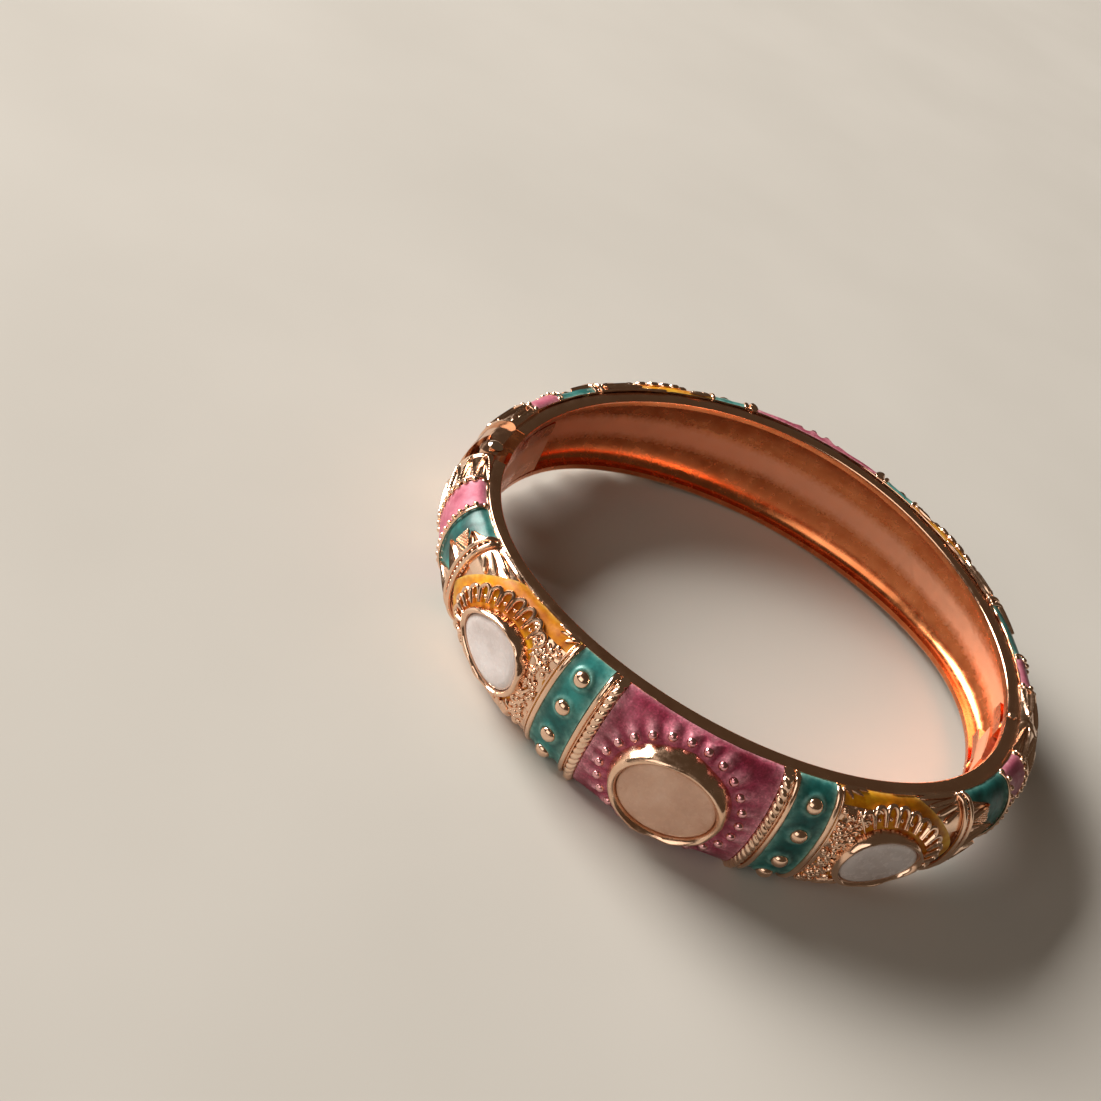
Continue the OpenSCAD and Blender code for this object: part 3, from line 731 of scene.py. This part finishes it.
def fan(solid, sign, rim):
    """Ribs that spread from the divider's end at a rim to the rounded end of the leaf panel."""
    base = leaf_edge()
    turns = np.linspace(0.30, 0.93, 24)
    inner, outer = base(turns), arch_edge(0.05)(turns)
    t = np.linspace(0, 1, 8)[None, :]
    s = inner[:, None] * (1 - t) + outer[:, None] * t
    turns = np.broadcast_to(rim * turns[:, None], s.shape)
    ledge(solid, sign * s, turns, 0.20 * fade(turns, 0.85, 1.0))
    # Four ribs, each from its turn at the divider to its turn at the leaf panel
    for begin, end in ((0.62, 0.46), (0.72, 0.60), (0.81, 0.74), (0.885, 0.875)):
        start = (26.15, rim * begin)
        finish = (float(base(np.array(end))) + 0.1, rim * end)
        middle = ((start[0] + finish[0]) / 2, rim * ((begin + end) / 2 + 0.012))
        curve(solid, sign, (start, middle, finish), radius=0.27, lift=0.32, count=24, share=0.3)
    # A curve along the rim, then a small leaf of three ribs beside the stud panel's ridge
    along_rim = ((26.6, rim * 0.94), (22.6, rim * 0.95), (18.6, rim * 0.94))
    curve(solid, sign, along_rim, radius=0.17, lift=0.22, count=40, share=0.1)
    for s_end, turn_end in ((15.9, 0.90), (15.3, 0.81), (14.3, 0.74)):
        middle = ((13.4 + s_end) / 2, rim * ((0.9 + turn_end) / 2 + 0.015))
        leaf_rib = ((LEAF_START, rim * 0.90), middle, (s_end, rim * turn_end))
        curve(solid, sign, leaf_rib, radius=0.20, lift=0.30, share=0.5)


def studs(side):
    solid = Solid()
    for sign in (-1, 1):
        for turn in STUD_TURNS:
            points, normals = on_dome(sign * STUD_AT, turn, 0.34)
            bead(solid, points.reshape(3), normals.reshape(3), STUD_RADIUS, STUD_HEIGHT, rings=16, sides=32)
    piece = make(side + "_domed_studs", solid, side, [TRIM])
    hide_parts(side + "_enamel_studs")
    return piece


GRAINS_START, GRAINS_LENGTH = 28.3, 2.5
# Each long point: turn of its middle, half its width in turn, distance of its tip
POINTS = ((-0.58, 0.17, 30.6), (-0.18, 0.18, 31.8), (0.18, 0.18, 31.8), (0.58, 0.17, 30.6))


def relief_points(side):
    """Long ribbed points from the divider towards the pink band, with grains between them."""
    solid = Solid()
    along = np.linspace(0, 1, 22)
    # Profile across a point: high ribs at both sides and a lower one in the middle
    side_shares = np.array([0.12, 0.30, 0.60, 0.74, 0.86, 0.97, 1.02])
    side_lifts = np.array([0.40, 0.27, 0.27, 0.46, 0.66, 0.46, 0.05])
    shares = np.concatenate([-side_shares[::-1], [0.0], side_shares])
    lifts = np.concatenate([side_lifts[::-1], [0.56], side_lifts])
    for sign in (-1, 1):
        for turn, half_width, full_tip in POINTS:
            tip = full_tip - TIP_SHIFT if sign < 0 else full_tip
            start = arch_edge(ARCH_WIDTH - 0.1)(turn + half_width * shares)
            s = start + (tip - start) * along[:, None]
            narrow = half_width * (1 - along) ** 0.92 + 0.012
            turns = turn + narrow[:, None] * shares
            height = lifts * (1 - 0.25 * along[:, None]) * fade(turns, 0.86, 1.08)
            ledge(solid, sign * s, turns, height)
        for turn in (-0.385, 0.385):
            granulate(solid, sign, turn)
    piece = make(side + "_long_points", solid, side, [TRIM], 28)
    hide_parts(side + "_relief_points")
    return piece


def granulate(solid, sign, turn):
    """Plate of fine grains in the gap between two points, wider towards the pink band."""
    along = np.linspace(0, 1, 12)[:, None]
    shares = np.array([-1.0, -0.5, 0.0, 0.5, 1.0])
    length = GRAINS_LENGTH - 0.6 * TIP_SHIFT if sign < 0 else GRAINS_LENGTH
    s = GRAINS_START + length * along + 0 * shares
    turns = turn + (0.015 + 0.110 * along) * shares
    ledge(solid, sign * s, turns, 0.16)
    for row in range(7):
        for k in range(row + 1):
            shift = (k - row / 2) * 0.036 + RNG.uniform(-0.004, 0.004)
            s = GRAINS_START + 0.2 + 0.14 * length * row + RNG.uniform(-0.04, 0.04)
            beads_on(solid, sign * s, turn + shift, RNG.uniform(0.13, 0.17), 0.20)


# ---------------------------------------------------------------- leaf caps at the ends
CAP_LEAVES = 7


def cap_relief(s, turn, start, end):
    """Pointed leaves side by side, each a hollow between raised ribs, tips towards the end."""
    t = np.clip((s - start) / (end - start), 0, 1)
    position = (turn + 1) / 2 * CAP_LEAVES
    local = np.abs(position - np.floor(position) - 0.5) * 2
    outline = np.clip(1 - t / 0.86, 0, 1) ** 0.55 * 0.92
    rib = np.exp(-(((local - outline) / 0.15) ** 2))
    vein = np.exp(-((local / 0.12) ** 2)) * np.clip((0.62 - t) / 0.1, 0, 1)
    hollow = np.where(local < outline, 1.0, 0.0)
    lift = 0.38 + 0.26 * rib - 0.24 * hollow * (1 - rib) + 0.20 * vein
    band_end = np.clip((t - 0.90) / 0.04, 0, 1)
    return lift * (1 - band_end) + 0.50 * band_end


def end_caps(side):
    """Leaf caps from the beading beside the pink bands to the half's ends."""
    solid = Solid()
    after_pink = PINK_END + 0.5
    for sign, start, end in ((1, after_pink, CLOSURE_END), (-1, after_pink - PINK_SHIFT, HINGE_END[side])):
        def top(s, turn, t, start=start, end=end):
            return cap_relief(np.abs(s), turn, start, end) * fade(turn, 0.88, 1.0)
        edges = (plain_edge(start), plain_edge(end)) if sign > 0 else (plain_edge(-end), plain_edge(-start))
        slab(solid, *edges, top, rows=60, cols=200, reach=0.99)
    piece = make(side + "_leaf_caps", solid, side, [TRIM], 50)
    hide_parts(side + "_end_caps")
    return piece


# ---------------------------------------------------------------- stones and settings
def egg(count, length, height, taper, seed, rough):
    """Outline of a stone in its own plane; the narrow end is at +X for a positive taper."""
    a = np.linspace(0, 2 * math.pi, count, endpoint=False)
    draw = np.random.default_rng(seed)
    phases = draw.uniform(0, 2 * math.pi, 3)
    wobble = 1 + rough * sum(np.sin(k * a + phases[k - 2]) / k for k in (2, 3, 4))
    outline = np.stack([length / 2 * np.cos(a), height / 2 * np.sin(a) * (1 - taper * np.cos(a))], 1)
    return outline * wobble[:, None]


def outward(outline):
    """Outward directions at the points of an outline."""
    tangent = np.roll(outline, -1, 0) - np.roll(outline, 1, 0)
    return unit(np.stack([tangent[:, 1], -tangent[:, 0]], 1))


def plane_points(s0, xy, z):
    """Points in the plane of the stone at s0: x along the band, y up, z out from the rim's inner edge."""
    _, _, _, nx, ny = plan(s0)
    origin = place(s0, 0.0, 0.0)
    along, out = np.array([-ny, nx, 0.0]), np.array([nx, ny, 0.0])
    up = np.array([0.0, 0.0, 1.0])
    return origin + xy[..., :1] * along + xy[..., 1:] * up + np.asarray(z)[..., None] * out


def setting(solid, s0, outline, profile, seed, dents):
    """Ring around a stone: profile is a list of (offset outside the stone, height) pairs.

    Its outside, and its top above 5 mm, are uneven by dents."""
    normal = outward(outline)
    a = np.linspace(0, 1, len(outline), endpoint=False) * 2 * math.pi
    rings = []
    for offset, height in profile:
        uneven = dents * waves(np.cos(a) * 4 + 0.8 * offset, np.sin(a) * 4 + 0.8 * height, seed, 2.2)
        xy = outline + normal * (offset + 0.7 * uneven[:, None] * (offset > 0.1))
        rings.append(plane_points(s0, xy, height + 0.7 * uneven * (height > 5)))
    solid.skin(np.stack(rings, 1), looped=True)


def cabochon(solid, s0, outline, profile):
    """Stone: profile is a list of (share of the outline, height) pairs from the bottom to the top."""
    rings = [plane_points(s0, outline * share, np.full(len(outline), height)) for share, height in profile]
    solid.skin(np.stack(rings, 0))


CENTRE_STONE = (9.9, 8.3)
SIDE_STONE = (8.5, 6.3)
SIDE_AT = 19.2
SIDE_TAPER = 0.2


def centre_setting(side):
    outline = egg(180, *CENTRE_STONE, taper=0.03, seed=5, rough=0.008)
    ring = Solid()
    profile = [(-0.02, 4.3), (-0.02, 5.25), (0.04, 5.52), (0.16, 5.74), (0.32, 5.84), (0.50, 5.80),
               (0.68, 5.62), (0.82, 5.30), (0.96, 4.90), (1.10, 4.45), (1.18, 3.7), (0.5, 3.4)]
    setting(ring, 0.0, outline, profile, seed=3, dents=0.13)
    a = np.arange(BEADS) * 2 * math.pi / BEADS + BEAD_PHASE
    s, turn = wrap(0.0, BEAD_RING[0] * np.cos(a), BEAD_RING[1] * np.sin(a))
    points, normals = on_dome(s, turn, 0.42)
    for p, n in zip(points, normals):
        bead(ring, p, n, 0.50, 0.46, rings=10, sides=18, slot=1)
    metal = make(side + "_centre_setting", ring, side, [BEZEL, COATED])
    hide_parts(side + "_centre_bezel")
    gem = Solid()
    cabochon(gem, 0.0, outline, [(0.985, 4.32), (0.99, 5.0), (0.985, 5.25), (0.96, 5.36), (0.90, 5.42),
                                 (0.7, 5.45), (0.4, 5.47), (0.05, 5.47)])
    jewel = make(side + "_centre_gem", gem, side, [PEACH_STONE], 60)
    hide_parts(side + "_centre_stone")
    return [metal, jewel]


def petal(solid, s0, x, y, angle, width, length):
    """U-shaped wire petal on the dome, open towards the stone, with a drop inside."""
    a = np.linspace(-math.pi / 2, math.pi / 2, 11)
    px = np.concatenate([[0], length - width / 2 + width / 2 * np.cos(a), [0]])
    py = np.concatenate([[-0.4 * width], width / 2 * np.sin(a), [0.4 * width]])
    c, d = math.cos(angle), math.sin(angle)
    s, turn = wrap(s0, x + px * c - py * d, y + px * d + py * c)
    points, normals = on_dome(s, turn, 0.48 * fade(turn, 0.8, 1.1))
    tube(solid, points, normals, rounded(len(px), 0.26, 0.06), 0.33, sides=10)
    s, turn = wrap(s0, x + 0.35 * length * c, y + 0.35 * length * d)
    beads_on(solid, s, turn, 0.24, 0.34)


PETAL_PITCH, PETAL_LENGTH, PETAL_WIDTH = 1.55, 1.75, 1.2
PETAL_FREE = -0.66                     # petals stop where they would point at the stud panel


def side_settings(side):
    """Side stones in their bezels, each in a row of petals with a granulated ground on its inner side."""
    metal, gems = Solid(), Solid()
    profile = [(-0.02, 4.2), (-0.02, 5.1), (0.06, 5.38), (0.20, 5.54), (0.38, 5.56), (0.50, 5.46),
               (0.58, 5.25), (0.62, 4.9), (0.66, 4.3), (0.70, 3.5), (0.3, 3.3)]
    for sign in (-1, 1):
        s0 = sign * SIDE_AT
        outline = egg(150, *SIDE_STONE, SIDE_TAPER * sign, 21, 0.012)
        setting(metal, s0, outline, profile, seed=9 + sign, dents=0.07)
        cabochon(gems, s0, outline, [(0.98, 4.3), (0.985, 5.1), (0.97, 5.22), (0.93, 5.32), (0.86, 5.43),
                                     (0.80, 5.48), (0.6, 5.50), (0.3, 5.51), (0.05, 5.51)])
        foot = egg(600, SIDE_STONE[0] + 1.9, SIDE_STONE[1] + 1.9, 0.7 * SIDE_TAPER * sign, 21, 0.0)
        way = outward(foot)
        arc = lengths(foot + PETAL_LENGTH * way)
        count = round(arc[-1] / PETAL_PITCH)
        for k in range(count):
            i = int(np.searchsorted(arc, arc[-1] * k / count))
            angle = math.atan2(way[i, 1], way[i, 0])
            if math.cos(angle) * sign > PETAL_FREE:
                petal(metal, s0, foot[i, 0], foot[i, 1], angle, PETAL_WIDTH, PETAL_LENGTH)
        scrollwork(metal, sign)
    settings = make(side + "_side_settings", metal, side, [TRIM])
    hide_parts(side + "_side_bezels")
    jewels = make(side + "_side_gems", gems, side, [WHITE_STONE], 60)
    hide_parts(side + "_side_stones")
    return [settings, jewels]


def scrollwork(solid, sign):
    """Raised ground with grains and curls between a side stone and its stud panel."""
    def inner(turn):
        return LEAF_START + 0.15 + 0 * turn

    def outer(turn):
        turn = np.abs(turn)
        return 15.4 + 2.2 * np.clip(turn / 0.62, 0, 1) ** 2.5 - 2.0 * np.clip(turn - 0.5, 0, 1)

    edges = (inner, outer) if sign > 0 else (on_side(-1, outer), on_side(-1, inner))

    def top(s, turn, t):
        return 0.34 + 0.07 * waves(s * 3, turn * 18, 61, 2.0) + 0 * t

    slab(solid, *edges, top, reach=0.64, rows=14, cols=60)
    for _ in range(120):
        turn = RNG.uniform(-0.62, 0.62)
        s = RNG.uniform(LEAF_START + 0.35, float(outer(np.array(turn))) - 0.1)
        beads_on(solid, sign * s, turn, RNG.uniform(0.20, 0.36), 0.38 + RNG.uniform(-0.04, 0.08))
    for turn in np.linspace(-0.6, 0.6, 9):
        s = float(outer(np.array(turn)))
        bend = 0.05 if turn > 0 else -0.05
        curl = ((s - 1.3, turn - bend), (s - 0.5, turn + bend), (s + 0.15, turn))
        curve(solid, sign, curl, radius=0.18, lift=0.52)


# ---------------------------------------------------------------- hinge and closure
def softened(node, name, width, material, segments, wrist=None):
    """The CAD shape with its edges rounded off by width mm; wrist is for faces within 1 mm of the opening."""
    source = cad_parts[node]
    mesh = source.data.copy()
    mesh.name = name
    mesh.materials.clear()
    mesh.materials.append(material)
    mesh.materials.append(wrist or material)
    piece = bpy.data.objects.new(name, mesh)
    bpy.context.scene.collection.objects.link(piece)
    work = bmesh.new()
    work.from_mesh(mesh)
    bmesh.ops.remove_doubles(work, verts=work.verts, dist=0.002 * MM)
    bmesh.ops.dissolve_limit(work, angle_limit=math.radians(3), verts=work.verts, edges=work.edges)
    for face in work.faces:
        middle = face.calc_center_median() / MM
        reach = math.hypot(abs(middle.x) - END_CENTRE, middle.y)
        # Faces near the opening take the wrist material, which for the fittings is the inside's copper with
        # its painted shade.
        face.material_index = int(wrist is not None and reach < END_RADIUS + 1.0)
    work.to_mesh(mesh)
    work.free()
    bevel = piece.modifiers.new("rounding", "BEVEL")
    bevel.width = width * MM
    bevel.segments = segments
    bevel.limit_method = "ANGLE"
    bevel.angle_limit = math.radians(35)
    mesh.shade_smooth()
    mesh.set_sharp_from_angle(angle=math.radians(40))
    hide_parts(node)
    return piece


def fittings():
    back = [softened("back_hinge_block", "hinge_block", 0.10, BAND, 3, INNER),
            softened("hinge_pin", "hinge_rivet", 0.03, PIN, 2),
            softened("closure_lugs", "closure_ears", 0.06, INNER, 2),
            softened("closure_pin", "closure_rivet", 0.02, PIN, 2)]
    front = [softened("front_hinge_knuckle", "hinge_tongue", 0.06, BAND, 2, INNER),
             softened("spring_clip", "closure_spring", 0.05, INNER, 2)]
    return back, front


# ---------------------------------------------------------------- assembly
for half in ("front", "back"):
    pieces = [band(half), rope_borders(half), dividers(half), studs(half), relief_points(half)]
    pieces.append(end_caps(half))
    pieces += enamels(half) + centre_setting(half) + side_settings(half)
    for item in pieces:
        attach(item, half + "_half")
back_fittings, front_fittings = fittings()
for item in back_fittings:
    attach(item, "back_half")
for item in front_fittings:
    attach(item, "front_half")


# ---------------------------------------------------------------- floor, light and camera
# Sizes of the studio, in metres
FLOOR_SIZE, WALL_RADIUS, WALL_HEIGHT, LAMP_DISTANCE = 4.0, 1.8, 2.0, 2.4


def floor():
    size = FLOOR_SIZE
    mesh = bpy.data.meshes.new("floor")
    corners = [(-size, -size, 0), (size, -size, 0), (size, size, 0), (-size, size, 0)]
    mesh.from_pydata(corners, [], [(0, 1, 2, 3)])
    n = Nodes("pale_floor")
    tint = n.ramp(n.noise(0.02, 3.0), [(0.3, (0.54, 0.52, 0.48)), (0.7, (0.58, 0.56, 0.52))])
    mesh.materials.append(n.set(Base_Color=tint, Roughness=0.8, Specular_IOR_Level=0.2))
    plane = bpy.data.objects.new("floor", mesh)
    bpy.context.scene.collection.objects.link(plane)


def backdrop():
    """Pale wall, seen by the camera only: it neither lights the bangle nor hides the lamps behind it."""
    sides = 96
    turn = np.linspace(0, 2 * math.pi, sides, endpoint=False)
    low = np.stack([WALL_RADIUS * np.cos(turn), WALL_RADIUS * np.sin(turn), np.full(sides, -0.1)], -1)
    high = low + (0, 0, WALL_HEIGHT)
    mesh = bpy.data.meshes.new("backdrop")
    faces = [(k, (k + 1) % sides, (k + 1) % sides + sides, k + sides) for k in range(sides)]
    mesh.from_pydata(np.concatenate([low, high]).tolist(), [], faces)
    n = Nodes("pale_backdrop")
    tint = n.ramp(n.noise(0.0005, 2.0), [(0.3, (0.50, 0.47, 0.43)), (0.7, (0.54, 0.51, 0.47))])
    n.set(Base_Color=(0, 0, 0, 1), Roughness=1.0, Specular_IOR_Level=0.0, Emission_Color=tint,
          Emission_Strength=0.8)
    mesh.materials.append(n.material)
    wall = bpy.data.objects.new("backdrop", mesh)
    bpy.context.scene.collection.objects.link(wall)
    wall.visible_diffuse = False
    wall.visible_glossy = False
    wall.visible_transmission = False
    wall.visible_shadow = False


def soft_light(name, direction, size, power, colour):
    """Rectangular lamp facing the bangle from a direction."""
    lamp = bpy.data.lights.new(name, "AREA")
    lamp.shape = "RECTANGLE"
    lamp.size, lamp.size_y = size
    lamp.energy = power
    lamp.color = colour
    item = bpy.data.objects.new(name, lamp)
    way = Vector(direction).normalized()
    item.location = way * LAMP_DISTANCE
    item.rotation_euler = way.to_track_quat("Z", "Y").to_euler()
    bpy.context.scene.collection.objects.link(item)


def studio():
    world = bpy.data.worlds.new("studio")
    world.use_nodes = True
    world.node_tree.nodes["Background"].inputs["Color"].default_value = (0.30, 0.22, 0.15, 1)
    world.node_tree.nodes["Background"].inputs["Strength"].default_value = 0.25
    bpy.context.scene.world = world
    soft_light("window", (-0.90, 0.30, 0.46), size=(1.5, 1.2), power=135, colour=(1.0, 0.95, 0.89))
    soft_light("room", (-0.45, -0.80, 0.50), size=(2.1, 1.5), power=16, colour=(1.0, 0.92, 0.84))


def camera():
    """The photograph's viewing direction: heading from +Y, tilt below the horizon, roll and distance."""
    heading, tilt, roll, distance = math.radians(-2.64), math.radians(37.74), math.radians(26.84), 161.6
    aim = Vector((-20.96, -7.02, 6.8))
    view = Vector((math.sin(heading) * math.cos(tilt), math.cos(heading) * math.cos(tilt), -math.sin(tilt)))
    right = view.cross(Vector((0, 0, 1))).normalized()
    up = right.cross(view)
    right, up = (right * math.cos(roll) + up * math.sin(roll), up * math.cos(roll) - right * math.sin(roll))
    data = bpy.data.cameras.new("camera")
    data.sensor_width = 36
    data.lens = 50.4
    data.clip_start = 0.01
    item = bpy.data.objects.new("camera", data)
    turn = Matrix((right, up, -view)).transposed()
    item.matrix_world = Matrix.Translation((aim - view * distance) * MM) @ turn.to_4x4()
    bpy.context.scene.collection.objects.link(item)
    bpy.context.scene.camera = item


floor()
backdrop()
studio()
camera()
bpy.context.scene.view_settings.view_transform = "Standard"
